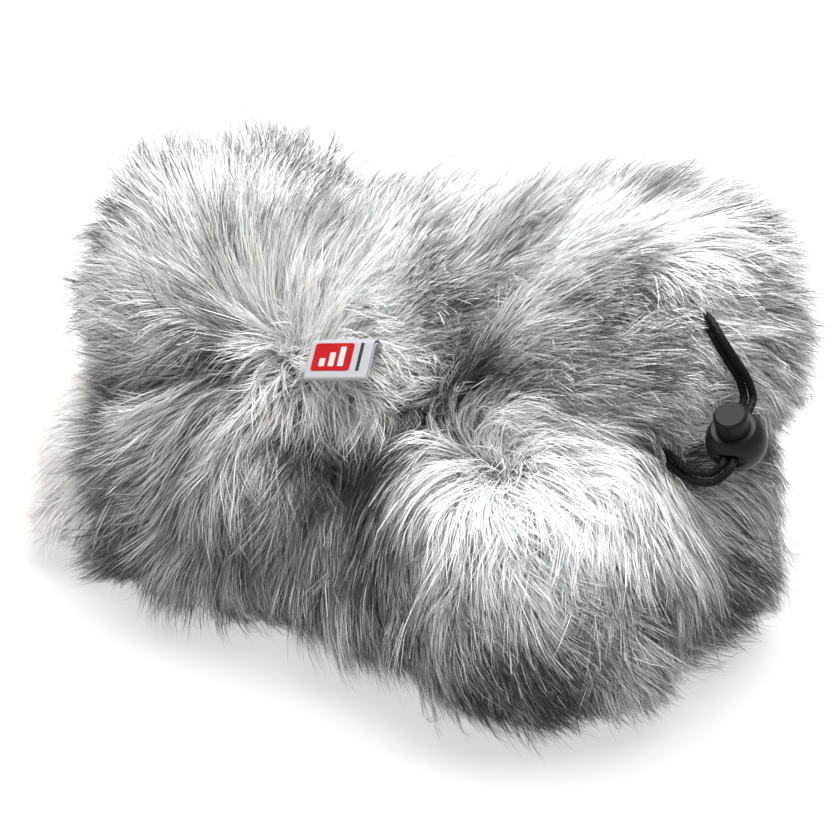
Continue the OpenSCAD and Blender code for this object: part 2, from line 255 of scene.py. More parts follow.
LOCK_AT = np.array([119.5, -10, 92])
LOCK_AXES = rotation(27, 0, 0) @ rotation(0, 0, -80)
LOCK_R = 8.6
PLUNGER_R = 4.8
PLUNGER_TOP = 12.0
# How far the cord lock slides up its cord, along the joint's axis in the CAD.
SLIDE = 4.0 * np.array([-0.173648, 0.877470, 0.447094])
BORE_Z = 1.4
STRAND_SIDE = 1.3
STRAND_HIGH = [[100, 5, 118.5], [104, 1.5, 119], [108, -0.5, 116], [112, 0, 110.5], [115, 2, 104.5]]
STRAND_HIGH_APART = unit(np.array([0.3, -0.6, 0.9]))
STRAND_LOW = [
    [119, -21.5, 86], [115.5, -22.5, 85], [110.5, -21.5, 84.5],
    [105, -18.5, 84.5], [98.5, -13.5, 83.5],
]
STRAND_LOW_APART = unit(np.array([0.1, -0.9, -0.9]))
LABEL_AT = np.array([11.5, -41.5, 108])
LABEL_AXES = rotation(-52, -12, 8)
LABEL_W, LABEL_H, LABEL_T, LABEL_GAP = 20.0, 13.0, 0.5, 0.6


def lock_point(x, y, z):
    return LOCK_AT + LOCK_AXES @ np.array([x, y, z], float)


STRAND_MID = np.array(
    STRAND_HIGH + [list(lock_point(x, 0, BORE_Z)) for x in range(-14, 11, 4)] + STRAND_LOW, float
)


def to_segment(p, start, end):
    """Where on the line from start to end each point is nearest."""
    line = end - start
    at = np.clip((p - start) @ line / (line @ line), 0, 1)
    return start + at[..., None] * line


# ---- which way the pile lies --------------------------------------------------------
COWLICK = np.array([-18.0, -39.5, 105])
BALL_TOP = np.array([72.0, -56.5, 84])
# Centre of the paler crown on the ball's top; part of its paleness is painted light.
BALL_PALE = np.array([78.0, -48.5, 90])
# Where the pile is darker, or paler where below 0: centre, reach and shift. The two tufts are
# darker hair; each other row is painted shade where it darkens and painted light where it makes
# paler.
SHADES = (
    (np.array([1.0, 28, 125]), 14, 3.2),  # tuft in the middle of the top
    (np.array([50.0, 8, 128]), 30, -2.0),  # top of the lobe over the mouth: painted light
    (np.array([60.0, 44, 130]), 22, -3.0),  # back corner of that lobe: painted light
    (np.array([22.0, -37, 93]), 16, -2.4),  # parting beside the label: painted light over its shade
    (np.array([-38.0, -47, 80]), 20, 2.2),  # under the roll of the closed end: painted shade
    (np.array([-106.0, -36, 36]), 24, -1.4),  # rim of the closed end: painted light
    (np.array([-28.0, -62, 56]), 20, 1.2),  # fold between the two front lobes: painted shade
    (np.array([-72.0, -4, 122]), 24, 0.8),  # tuft over the closed end
    (LOCK_AT, 26, 1.6),  # in the shade of the cord lock
)
LOW_TOP = np.array([-32.0, 12.0, 122])  # where the pile of the top lies flattest
PARTING = 135  # the front top seam; over the mouth the pile parts 40 degrees higher
CLEAR_OF_CORD = 5.0
LABEL_LEFT = LABEL_AT + LABEL_AXES @ np.array([-8.0, 0, -7])
LABEL_RIGHT = LABEL_AT + LABEL_AXES @ np.array([8.0, 0, -7])
PRESSED_TO = 1.0  # how proud the pile may stand beside the cords and lock
# How far the hairs stay clear of the lock, of its plunger and of the label's back.
LOCK_CLEAR = 0.8
PLUNGER_CLEAR = 3.0
LABEL_CLEAR = 0.8
# Where the pile whorls: centre, reach and strength of the flow out of it.
CROWNS = ((COWLICK, 26, 1.5), (BALL_TOP, 40, 2.2))


def may_stand(p):
    """How proud of the bag the pile may stand: it is pressed down round the cords."""
    near = np.full(len(p), 1e9)
    for start, end in zip(STRAND_MID[:-1], STRAND_MID[1:]):
        near = np.minimum(near, np.linalg.norm(p - to_segment(p, start, end), axis=-1))
    near = np.minimum(near, np.linalg.norm(p - LOCK_AT, axis=-1) - LOCK_R + 3)
    under = np.linalg.norm(p - to_segment(p, LABEL_LEFT, LABEL_RIGHT), axis=-1)
    low = np.minimum(near - CLEAR_OF_CORD, 1.6 * under - 11)
    return np.minimum(PRESSED_TO + 0.9 * np.maximum(low, 0), MAX_PROUD)


def keep_clear(p):
    """Moves the hairs out from in front of the label and out of the space that the
    lock and its plunger sweep, and keeps them low beside the cords."""
    flat = p.reshape(-1, 3)
    near = np.linalg.norm(flat - LOCK_AT, axis=-1) < 45
    near |= np.linalg.norm(flat - LABEL_AT, axis=-1) < 30
    some = flat[near]
    over = height(some) - may_stand(some)
    d = from_spine(some)[1]
    some -= np.maximum(over, 0)[:, None] * d
    top = LOCK_AT + LOCK_AXES[:, 2] * PLUNGER_TOP
    for start, end, radius in (
        (LOCK_AT, LOCK_AT + SLIDE, LOCK_R + LOCK_CLEAR),
        (LOCK_AT + SLIDE / 2, top + SLIDE / 2, PLUNGER_R + PLUNGER_CLEAR),
    ):
        axis = to_segment(some, start, end)
        away = some - axis
        far = np.linalg.norm(away, axis=-1, keepdims=True)
        some = np.where(far < radius, axis + unit(away - 0.5 * radius * d) * radius, some)
    flat[near] = some
    local = (flat - LABEL_AT) @ LABEL_AXES
    beside = ease((LABEL_W / 2 + 2.0 - np.abs(local[:, 0])) / 2)
    below = ease((local[:, 2] + LABEL_H + 2.0) / 2) * ease((1.0 - local[:, 2]) / 3)
    behind = LABEL_GAP / 2 + LABEL_T + LABEL_CLEAR
    local[:, 1] += np.maximum(behind - local[:, 1], 0) * beside * below * (local[:, 1] > -16)
    flat[:] = LABEL_AT + local @ LABEL_AXES.T
    flat[:] = np.clip(flat, PILE_LOW, PILE_HIGH)
    return flat.reshape(p.shape)


def comb(p, normal):
    """The direction in which the pile is combed, and how firmly from 0 to 1: away
    from the front top seam, out from the cowlick and the ball's crown, and down at
    both ends. Where those flows part, the pile stands up."""
    d = from_spine(p)[1]
    around = np.arctan2(d[:, 2], d[:, 1])
    parting = PARTING - 40 * ease((p[:, 0] - 5) / 45) * ease((p[:, 2] - 92) / 12)
    past = (np.degrees(around) - parting + 180) % 360 - 180
    side = np.tanh(past / 26)[:, None]
    ring = np.stack([0 * around, -np.sin(around), np.cos(around)], -1)
    end = ease((np.abs(d[:, 0]) - 0.25) / 0.6)[:, None]
    along = np.clip((p[:, 0] - COWLICK[0]) / 55, -1, 1)[:, None]
    flow = (1 - 0.85 * end) * side * ring
    upper = ease((p[:, 0] - 8) / 45) * ease((p[:, 2] - 84) / 16)
    flow += along * (0.85 + 0.9 * upper[:, None]) * np.array([1.0, 0, 0])
    flow += end * np.array([0, 0, -0.75])
    for centre, reach, strength in CROWNS:
        away = p - centre
        far = np.linalg.norm(away, axis=-1, keepdims=True)
        flow += strength * np.exp(-((far / reach) ** 2)) * np.tanh(far / 14) * unit(away)
    lip = p - MOUTH_LIP
    rim = np.exp(-((lip / 17) ** 2).sum(-1))[:, None]
    flow = flow * (1 - rim) + 1.5 * rim * unit(lip - (lip @ MOUTH_OUT)[:, None] * MOUTH_OUT)
    flow -= (flow * normal).sum(-1, keepdims=True) * normal
    return unit(flow), np.tanh(1.6 * np.linalg.norm(flow, axis=-1))


# ---- materials ------------------------------------------------------------------------
def principled(name, color, roughness=0.5, **inputs):
    material = bpy.data.materials.new(name)
    material.use_nodes = True
    shader = material.node_tree.nodes["Principled BSDF"]
    shader.inputs["Base Color"].default_value = (*color, 1)
    shader.inputs["Roughness"].default_value = roughness
    for key, value in inputs.items():
        shader.inputs[key.replace("_", " ")].default_value = value
    return material


# Linear greys from white guard hair to black tips, each in a cool and a warm tint.
TONES = (0.93, 0.80, 0.62, 0.44, 0.28, 0.15, 0.065, 0.022)
TINTS = {"cool": (0.965, 0.995, 1.0), "warm": (1.0, 0.975, 0.94)}
# How many steps of TONES each thing darkens a hair by, or makes it paler if below 0.
# Painted shade in the folds between lobes.
FOLD_SHADE_SHIFT = 3.2
# Painted light on the lower part of the closed end.
END_LIGHT_SHIFT = -4.5
# Paler crowns, on the hairs and on the underfur: partly painted light.
CROWN_SHIFT = -3.1
UNDER_CROWN_SHIFT = -2.2
TIP_SHIFT = 9.0
TIP_START = 0.62  # how far along a hair its dark tip begins


def fur_materials():
    return [
        principled(f"fur_{key}_{k}", [tone * c for c in tint], 0.42, Specular_IOR_Level=0.35)
        for key, tint in TINTS.items()
        for k, tone in enumerate(TONES)
    ]


def noise_height(tree, at, scale, detail=3.0):
    texture = tree.nodes.new("ShaderNodeTexNoise")
    texture.inputs["Scale"].default_value = scale
    texture.inputs["Detail"].default_value = detail
    tree.links.new(at, texture.inputs["Vector"])
    return texture.outputs["Fac"]


def cell_height(tree, at, scale):
    texture = tree.nodes.new("ShaderNodeTexVoronoi")
    texture.inputs["Scale"].default_value = scale
    tree.links.new(at, texture.inputs["Vector"])
    return texture.outputs["Distance"]


def weave_height(tree, at, scale, across="Y"):
    """Two sets of threads that cross."""
    bands = []
    for axis in ("X", across):
        texture = tree.nodes.new("ShaderNodeTexWave")
        texture.bands_direction = axis
        texture.inputs["Scale"].default_value = scale
        texture.inputs["Distortion"].default_value = 0.4
        tree.links.new(at, texture.inputs["Vector"])
        bands.append(texture.outputs["Fac"])
    both = tree.nodes.new("ShaderNodeMath")
    both.operation = "MAXIMUM"
    for k in (0, 1):
        tree.links.new(bands[k], both.inputs[k])
    return both.outputs["Value"]


def finish_surface(material, height, strength, depth, turn=None, spread=0.0, dark=None, **settings):
    """Gives a material relief of a depth in metres from a procedural height, and
    lets its roughness, and its colour down to dark, vary with that height."""
    tree = material.node_tree
    shader = tree.nodes["Principled BSDF"]
    where = tree.nodes.new("ShaderNodeTexCoord")
    placed = tree.nodes.new("ShaderNodeMapping")
    placed.inputs["Scale"].default_value = (1000,) * 3
    if turn is not None:
        placed.inputs["Rotation"].default_value = turn
    tree.links.new(where.outputs["Object"], placed.inputs["Vector"])
    level = height(tree, placed.outputs["Vector"], **settings)
    relief = tree.nodes.new("ShaderNodeBump")
    relief.inputs["Strength"].default_value = strength
    relief.inputs["Distance"].default_value = depth
    tree.links.new(level, relief.inputs["Height"])
    tree.links.new(relief.outputs["Normal"], shader.inputs["Normal"])
    if spread:
        rough = shader.inputs["Roughness"].default_value
        vary = tree.nodes.new("ShaderNodeMapRange")
        vary.inputs["To Min"].default_value = rough - spread
        vary.inputs["To Max"].default_value = rough + spread
        tree.links.new(level, vary.inputs["Value"])
        tree.links.new(vary.outputs["Result"], shader.inputs["Roughness"])
    if dark is not None:
        ramp = tree.nodes.new("ShaderNodeValToRGB")
        ramp.color_ramp.elements[0].position = 0.25
        ramp.color_ramp.elements[0].color = (*dark, 1)
        ramp.color_ramp.elements[1].position = 0.75
        ramp.color_ramp.elements[1].color = shader.inputs["Base Color"].default_value
        tree.links.new(level, ramp.inputs["Fac"])
        tree.links.new(ramp.outputs["Color"], shader.inputs["Base Color"])
    return material


def label_weave(name, color, roughness, gloss, dark):
    """The label's satin weave, which follows the label's own axes."""
    return finish_surface(
        principled(name, color, roughness, Specular_IOR_Level=gloss),
        weave_height, 0.45, 0.00015, turn=Matrix(LABEL_AXES.T.tolist()).to_euler(),
        scale=0.9, across="Z", dark=dark,
    )


def piece_materials():
    return {
        "plastic": finish_surface(
            principled("moulded_plastic", (0.006, 0.006, 0.0065), 0.38, Specular_IOR_Level=0.2),
            noise_height, 0.12, 0.0001, spread=0.08, scale=6.0,
        ),
        "plunger": finish_surface(
            principled("plunger_plastic", (0.009, 0.0085, 0.0085), 0.42, Specular_IOR_Level=0.12),
            noise_height, 0.15, 0.0001, spread=0.08, scale=5.0,
        ),
        "steel": finish_surface(
            principled("spring_steel", (0.55, 0.55, 0.57), 0.3, Metallic=1.0),
            noise_height, 0.1, 0.00005, spread=0.1, scale=8.0,
        ),
        "cord": finish_surface(
            principled("braided_cord", (0.0045, 0.0045, 0.005), 0.55, Specular_IOR_Level=0.14),
            noise_height, 0.5, 0.0001, scale=7.0, dark=(0.002, 0.002, 0.0022),
        ),
        "knit": finish_surface(
            principled("knitted_backing", (0.34, 0.35, 0.36), 0.9, Sheen_Weight=0.3),
            weave_height, 0.8, 0.0004, scale=0.32, across="Z", dark=(0.16, 0.165, 0.17),
        ),
        "thread": finish_surface(
            principled("overlock_thread", (0.30, 0.31, 0.32), 0.75, Sheen_Weight=0.3),
            noise_height, 0.6, 0.0001, scale=5.0, dark=(0.18, 0.185, 0.19),
        ),
        "foam": finish_surface(
            principled("open_cell_foam", (0.035, 0.035, 0.037), 0.95),
            cell_height, 1.0, 0.0008, scale=1.1, dark=(0.010, 0.010, 0.011),
        ),
        "tape": finish_surface(
            principled("woven_tape", (0.028, 0.028, 0.030), 0.8, Sheen_Weight=0.3),
            weave_height, 0.8, 0.0003, scale=0.5, across="Z", dark=(0.012, 0.012, 0.013),
        ),
        "label": label_weave(
            "label_satin", (0.31, 0.315, 0.335), 0.42, 0.3, (0.26, 0.265, 0.285)
        ),
        "red": label_weave("label_red", (0.32, 0.004, 0.007), 0.6, 0.1, (0.26, 0.003, 0.005)),
        "white": label_weave("label_white", (0.42, 0.42, 0.42), 0.5, 0.2, (0.36, 0.36, 0.36)),
        "dark": label_weave("label_dark", (0.02, 0.02, 0.022), 0.6, 0.2, (0.012, 0.012, 0.013)),
    }


# ---- meshes --------------------------------------------------------------------------
def make_mesh(name, points, corners, sizes, materials, index=None, smooth=True):
    """A mesh object from points in millimetres, each face's corners in a row, and
    the number of corners of each face."""
    mesh = bpy.data.meshes.new(name)
    mesh.vertices.add(len(points))
    mesh.vertices.foreach_set("co", np.ravel(points * MM).astype(np.float32))
    mesh.loops.add(len(corners))
    mesh.loops.foreach_set("vertex_index", np.asarray(corners, np.int32))
    mesh.polygons.add(len(sizes))
    starts = np.concatenate([[0], np.cumsum(sizes)[:-1]]).astype(np.int32)
    mesh.polygons.foreach_set("loop_start", starts)
    for material in materials:
        mesh.materials.append(material)
    if index is not None:
        mesh.polygons.foreach_set("material_index", np.asarray(index, np.int32))
    mesh.polygons.foreach_set("use_smooth", np.full(len(sizes), smooth))
    mesh.update(calc_edges=True)
    mesh.validate()
    made = bpy.data.objects.new(name, mesh)
    bpy.context.scene.collection.objects.link(made)
    return made


def face_out(piece):
    """Turns every face of a closed mesh outwards."""
    edit = bmesh.new()
    edit.from_mesh(piece.data)
    bmesh.ops.recalc_face_normals(edit, faces=edit.faces)
    edit.to_mesh(piece.data)
    edit.free()
    return piece


def two_layers(name, outer, inner, materials, closed=False):
    """A closed shell between two grids of points of the same shape."""
    n, m = outer.shape[:2]
    i, j = np.meshgrid(np.arange(n - 1), np.arange(m if closed else m - 1), indexing="ij")
    after = (j + 1) % m
    top = np.stack([i * m + j, (i + 1) * m + j, (i + 1) * m + after, i * m + after], -1)
    top = top.reshape(-1, 4)
    rows = [np.arange(m), (n - 1) * m + np.arange(m)]
    if closed:
        rims = [np.append(row, row[0]) for row in rows]
    else:
        rims = rows + [np.arange(n) * m, np.arange(n) * m + m - 1]
    faces = [top, top + n * m]
    for rim in rims:
        faces.append(np.stack([rim[:-1], rim[1:], rim[1:] + n * m, rim[:-1] + n * m], -1))
    faces = np.concatenate(faces)
    points = np.concatenate([outer.reshape(-1, 3), inner.reshape(-1, 3)])
    sizes = np.full(len(faces), 4)
    return face_out(make_mesh(name, points, faces.ravel(), sizes, materials))


def shell(name, s, v, depths, materials, closed=False):
    """A piece of the bag's wall between two depths."""
    outer, inner = (bag_point(s[:, None], v[None, :], depth) for depth in depths)
    return two_layers(name, outer, inner, materials, closed)


def tube_parts(path, radius, sides, closed=False, relief=None):
    """The points and faces of a tube along a path. relief(along, around) makes its
    radius larger or smaller from place to place."""
    path = np.asarray(path, float)
    n = len(path)
    ahead = np.roll(path, -1, 0) - np.roll(path, 1, 0)
    if not closed:
        ahead[0], ahead[-1] = path[1] - path[0], path[-1] - path[-2]
    ahead = unit(ahead)
    start = np.eye(3)[np.abs(ahead[0]).argmin()]
    side = [unit(start - ahead[0] * (start @ ahead[0]))]
    for t in ahead[1:]:
        side.append(unit(side[-1] - t * (side[-1] @ t)))
    side = np.array(side)
    up = np.cross(ahead, side)
    along = np.concatenate([[0], np.cumsum(np.linalg.norm(np.diff(path, axis=0), axis=1))])
    around = 2 * np.pi * np.arange(sides) / sides
    r = np.full((n, sides), float(radius))
    if relief is not None:
        r *= 1 + relief(along[:, None], around[None, :])
    c, d = np.cos(around)[None, :, None], np.sin(around)[None, :, None]
    ring = c * side[:, None] + d * up[:, None]
    points = (path[:, None] + r[..., None] * ring).reshape(-1, 3)
    i, j = np.meshgrid(np.arange(n if closed else n - 1), np.arange(sides), indexing="ij")
    after = (j + 1) % sides
    lower, upper = i * sides, (i + 1) % n * sides
    faces = np.stack([lower + j, lower + after, upper + after, upper + j], -1).reshape(-1, 4)
    corners, sizes = faces.ravel(), np.full(len(faces), 4)
    if not closed:
        caps = [np.arange(sides)[::-1], (n - 1) * sides + np.arange(sides)]
        corners = np.concatenate([corners, *caps])
        sizes = np.append(sizes, [sides, sides])
    return points, corners, sizes


def tubes(name, rows, materials):
    """Several tubes as one mesh; each row is the tube's parts and its material."""
    points, corners, sizes, index, count = [], [], [], [], 0
    for (p, c, z), slot in rows:
        points.append(p)
        corners.append(c + count)
        sizes.append(z)
        index.append(np.full(len(z), slot))
        count += len(p)
    merged = [np.concatenate(x) for x in (points, corners, sizes, index)]
    return make_mesh(name, *merged[:3], materials, merged[3])


def smooth_path(points, steps):
    """A smooth curve through the points, with so many steps from each to the next."""
    p = np.asarray(points, float)
    p = np.concatenate([[2 * p[0] - p[1]], p, [2 * p[-1] - p[-2]]])
    t = np.arange(steps)[:, None] / steps
    out = []
    for a, b, c, d in zip(p[:-3], p[1:-2], p[2:-1], p[3:]):
        out.append(0.5 * (2 * b + (c - a) * t + (2 * a - 5 * b + 4 * c - d) * t**2
                          + (3 * b - a - 3 * c + d) * t**3))
    return np.concatenate(out + [p[-2:-1]])


# ---- the cord's free strands ------------------------------------------------------
CORD_D = 2.4  # over the high points of its braid
BRAID_PITCH = 4.0
BRAID_THREADS = 6  # each way round
BRAID_RELIEF = 0.22


def braid(along, around):
    """The relief of a round braid, as a share of the cord's radius."""
    turn = 2 * np.pi * along / BRAID_PITCH
    one = np.cos(BRAID_THREADS * around / 2 + turn)
    other = np.cos(BRAID_THREADS * around / 2 - turn)
    return BRAID_RELIEF * (np.abs(one) ** 0.6 * np.abs(other) ** 0.6 - 0.95)


def strand_points(side):
    high, low = len(STRAND_HIGH), len(STRAND_MID) - len(STRAND_LOW)
    points = []
    for i, p in enumerate(STRAND_MID):
        if i < high:
            w, to = 1 - (i + 1) / (high + 1), STRAND_HIGH_APART
        else:
            w, to = max(0, i - low + 1) / (len(STRAND_LOW) + 1), STRAND_LOW_APART
        t = unit(STRAND_MID[min(i + 1, len(STRAND_MID) - 1)] - STRAND_MID[max(i - 1, 0)])
        apart = LOCK_AXES[:, 1] * (1 - w) + to * w
        points.append(p + side * STRAND_SIDE * unit(apart - t * (apart @ t)))
    return points


def add_cords(finish):
    """Both strands leave the fur over the mouth and go back into it past the lock."""
    for name, side, parts in (
        ("outer", 1, ["lock_body", "lock_plunger", "lock_coil"]),
        ("inner", -1, []),
    ):
        path = smooth_path(strand_points(side), 24)
        cord = tubes(
            f"cord_{name}",
            [(tube_parts(path, CORD_D / 2, 28, relief=braid), 0)],
            [finish["cord"]],
        )
        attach(cord, "bag")
        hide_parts(f"cord_strand_{name}")
        length = np.linalg.norm(np.diff(path, axis=0), axis=1).sum()
        print("cord", name, round(length, 1))
    for node, key in (("lock_body", "plastic"), ("lock_plunger", "plunger")):
        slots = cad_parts[node].data.materials
        slots.clear()
        slots.append(finish[key])


# ---- the cord lock's spring --------------------------------------------------------
LOCK_FLOOR = -6.6
PLUNGER_BOTTOM = -1.5
WIRE_D = 0.5
SPRING_TURNS = 3


def add_spring(finish):
    """The coil under the plunger, from the lock's floor up to the plunger's bottom."""
    turn = np.linspace(0, 2 * np.pi * SPRING_TURNS, 16 * SPRING_TURNS + 1)
    end, r = WIRE_D / 2 + 0.02, PLUNGER_R - 0.8
    heights = np.linspace(LOCK_FLOOR + end, PLUNGER_BOTTOM - end, len(turn))
    path = [lock_point(r * math.cos(a), r * math.sin(a), z) for a, z in zip(turn, heights)]
    coil = tubes("lock_coil", [(tube_parts(path, WIRE_D / 2, 10), 0)], [finish["steel"]])
    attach(coil, "cord_lock")
    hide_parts("lock_spring")
    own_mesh(coil)


# ---- the bag's cloth, seams, lining and drawcord ------------------------------------
BACKING_T = 1.2
PANEL_GAP = 0.004  # along the bag, where two panels meet at a ring seam
SEAM_WIDTH = 1.5
POLE = 0.004  # where the sheets round the closed end's pole start


def add_backing(panel, finish):
    (s0, s1), (v0, v1) = PANELS[panel]
    closed = v1 - v0 == 360
    if panel == "fur_end_cap":
        s0 = POLE
    if panel == "fur_mouth_collar":
        s1 = 3.0
    s = np.linspace(s0, s1 - PANEL_GAP, 50)
    v = turn_in(120) if closed else np.linspace(v0 + 1, v1 - 1, 60)
    cloth = shell(f"backing_{panel[4:]}", s, v, (PILE - BACKING_T, PILE), [finish["knit"]], closed)
    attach(cloth, "bag")
    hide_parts(panel)


def add_seam(name, s, v, finish, closed=False):
    """An overlocked seam: a rounded ridge, and a thread that goes to and fro over it."""
    s, v = np.broadcast_arrays(np.asarray(s, float), np.asarray(v, float))
    ridge = bag_point(s, v, PILE - SEAM_WIDTH)
    along_s = np.ptp(s) > 0
    ds, dv = (0, 1.0) if along_s else (0.01, 0)
    aside = unit(bag_point(s + ds, v + dv, PILE - 1) - bag_point(s - ds, v - dv, PILE - 1))
    out = unit(bag_point(s, v, PILE - 5) - ridge)
    to_and_fro = np.where(np.arange(len(ridge)) % 2, 1.0, -1.0)[:, None]
    thread = ridge + aside * 0.9 * to_and_fro + out * 1.25
    piece = tubes(
        f"overlock_{name}",
        [
            (tube_parts(ridge, SEAM_WIDTH - 0.2, 12, closed), 0),
            (tube_parts(thread, 0.28, 6, closed), 1),
        ],
        [finish["knit"], finish["thread"]],
    )
    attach(face_out(piece), "bag")
    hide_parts(f"seam_{name}")


LINING_GAP = 1.0
FOAM_T = 5.0
FOAM_JOINT = 1.1
CHANNEL_S, CHANNEL_HALF, CHANNEL_WALL = 2.62, 0.045, 0.012
CHANNEL_DEPTH, TAPE_T = 5.2, 0.8


def add_lining(finish):
    depths = (PILE + LINING_GAP, PILE + LINING_GAP + FOAM_T)
    for name, node, s0, s1 in (
        ("foam_wall_end", "foam_end", POLE, FOAM_JOINT),
        ("foam_wall", "foam_sleeve", FOAM_JOINT, 2.55),
    ):
        s = np.linspace(s0, s1 - 0.002, 60)
        foam = shell(name, s, turn_in(144), depths, [finish["foam"]], True)
        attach(foam, "bag")
        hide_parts(node)


def add_drawcord(finish):
    round_v = turn_in(180)
    low, high = CHANNEL_S - CHANNEL_HALF, CHANNEL_S + CHANNEL_HALF
    rim = PILE + LINING_GAP
    base = rim + CHANNEL_DEPTH
    outline = [
        (low, rim), (low + CHANNEL_WALL, rim),
        (low + CHANNEL_WALL, base - TAPE_T), (high - CHANNEL_WALL, base - TAPE_T),
        (high - CHANNEL_WALL, rim), (high, rim), (high, base), (low, base),
    ]
    rows = np.array([bag_point(s, round_v, depth) for s, depth in outline])
    m = len(round_v)
    i, j = np.meshgrid(np.arange(len(outline)), np.arange(m), indexing="ij")
    after, below = (j + 1) % m, (i + 1) % len(outline)
    faces = np.stack([i * m + j, below * m + j, below * m + after, i * m + after], -1)
    corners, sizes = faces.ravel(), np.full(faces[..., 0].size, 4)
    channel = make_mesh(
        "drawcord_tape", rows.reshape(-1, 3), corners, sizes, [finish["tape"]], smooth=False
    )
    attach(face_out(channel), "bag")
    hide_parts("drawcord_channel")
    depth = rim + (CHANNEL_DEPTH - TAPE_T) / 2
    path = bag_point(CHANNEL_S, turn_in(1080), depth)
    ring = tubes(
        "drawcord_loop",
        [(tube_parts(path, CORD_D / 2, 20, closed=True, relief=braid), 0)],
        [finish["cord"]],
    )
    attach(ring, "bag")
    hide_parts("drawcord_ring")


# ---- the label --------------------------------------------------------------------
LABEL_ROOT = np.array([19.0, -3.5])
LABEL_BEND = 2.0
STITCHES = 9
STITCH_R = 0.18
# The marks on the label's face: left, right, low and high, and how far they stand up.
MARK_LOW, MARK_HIGH = -10.4, -1.6
PANEL_SPAN = (-8.2, 4.2)
STRIPE_SPAN = (6.2, 7.2)
BAR_LEFT, BAR_FOOT, BAR_W, BAR_PITCH = -5.9, -9.0, 1.8, 3.0
BAR_HEIGHTS = (2.6, 4.4, 6.2)
MARK_LIFT, BAR_LIFT = 0.10, 0.16


def label_line():
    """The middle of the folded label, from the seam out and down to the fold, in its
    own y and z."""
    arc = np.radians(np.arange(90, 181, 6))
    bend = LABEL_BEND * np.stack([1 + np.cos(arc), np.sin(arc) - 1], -1)
    lead = LABEL_ROOT + (bend[0] - LABEL_ROOT) * np.linspace(0, 1, 24)[:-1, None]
    end = np.array([0, LABEL_GAP / 2 + LABEL_T - LABEL_H])
    drop = bend[-1] + (end - bend[-1]) * np.linspace(0, 1, 16)[:, None]
    return np.concatenate([lead, bend[:-1], drop])


def fold_line(off):
    """Both legs of the folded tape and the turn between them, at a distance."""
    p = label_line()
    ahead = unit(np.gradient(p, axis=0))
    normal = np.stack([-ahead[:, 1], ahead[:, 0]], -1)
    turn = np.radians(np.arange(186, 355, 8))
    tip = p[-1] + off * np.stack([np.cos(turn), np.sin(turn)], -1)
    return np.concatenate([p - off * normal, tip, (p + off * normal)[::-1]])


def label_grid(off):
    across = np.linspace(-LABEL_W / 2, LABEL_W / 2, 41)
    line = fold_line(off)
    local = np.zeros((len(line), len(across), 3))
    local[..., 0] = across
    local[..., 1:] = line[:, None]
    return local


def label_place(local):
    return LABEL_AT + local @ LABEL_AXES.T


def rounded(x0, x1, z0, z1, r):
    """The outline of a rectangle with rounded corners."""
    turn = np.radians(np.arange(0, 90, 15))
    corner = r * np.stack([np.cos(turn), np.sin(turn)], -1)
    left, right, low, high = x0 + r, x1 - r, z0 + r, z1 - r
    out = []
    for k, (x, z) in enumerate(((right, high), (left, high), (left, low), (right, low))):
        a = np.pi / 2 * k
        spin = np.array([[np.cos(a), np.sin(a)], [-np.sin(a), np.cos(a)]])
        out.append(np.array([x, z]) + corner @ spin)
    return np.concatenate(out)


def add_mark(name, outline, lift, material):
    """A patch of coloured weave on the label's face."""
    face = -(LABEL_GAP / 2 + LABEL_T)
    n = len(outline)
    points = np.zeros((2 * n, 3))
    points[:, [0, 2]] = np.concatenate([outline, outline])
    points[:, 1] = face
    points[:n, 1] -= lift
    points[n:, 1] += 0.1
    k = np.arange(n)
    wall = np.stack([k, (k + 1) % n, (k + 1) % n + n, k + n], -1)
    corners = np.concatenate([k, k[::-1] + n, wall.ravel()])
    sizes = np.concatenate([[n, n], np.full(n, 4)])
    patch = make_mesh(name, label_place(points), corners, sizes, [material], smooth=False)
    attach(face_out(patch), "bag")
    return patch


def add_label(finish):
    gap = LABEL_GAP / 2
    outer, inner = (label_place(label_grid(off)) for off in (gap + LABEL_T, gap))
    tape = two_layers("label_loop", outer, inner, [finish["label"]])
    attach(tape, "bag")
    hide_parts("label_tape")
    block = rounded(*PANEL_SPAN, MARK_LOW, MARK_HIGH, 1.0)
    marks = [add_mark("label_panel", block, MARK_LIFT, finish["red"])]
    for k, high in enumerate(BAR_HEIGHTS):
        x = BAR_LEFT + BAR_PITCH * k
        bar = rounded(x, x + BAR_W, BAR_FOOT, BAR_FOOT + high, 0.3)
        marks.append(add_mark(f"label_bar_{k + 1}", bar, BAR_LIFT, finish["white"]))
    stripe = rounded(*STRIPE_SPAN, MARK_LOW, MARK_HIGH, 0.3)
    marks.append(add_mark("label_stripe", stripe, MARK_LIFT, finish["dark"]))
    slope = unit(np.array([LABEL_BEND, 0.0]) - LABEL_ROOT)
    across = np.array([slope[1], -slope[0]]) * np.sign(-slope[0])
    x = np.linspace(-LABEL_W / 2 + 1, LABEL_W / 2 - 1, 12 * STITCHES)
    rise = gap + LABEL_T + 0.14 * np.cos(2 * np.pi * x / (LABEL_W / STITCHES))
    line = LABEL_ROOT + 1.5 * slope + rise[:, None] * across
    path = label_place(np.column_stack([x, line]))
    thread = tubes("label_thread", [(tube_parts(path, STITCH_R, 8), 0)], [finish["thread"]])
    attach(thread, "bag")
    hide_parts("label_stitches")


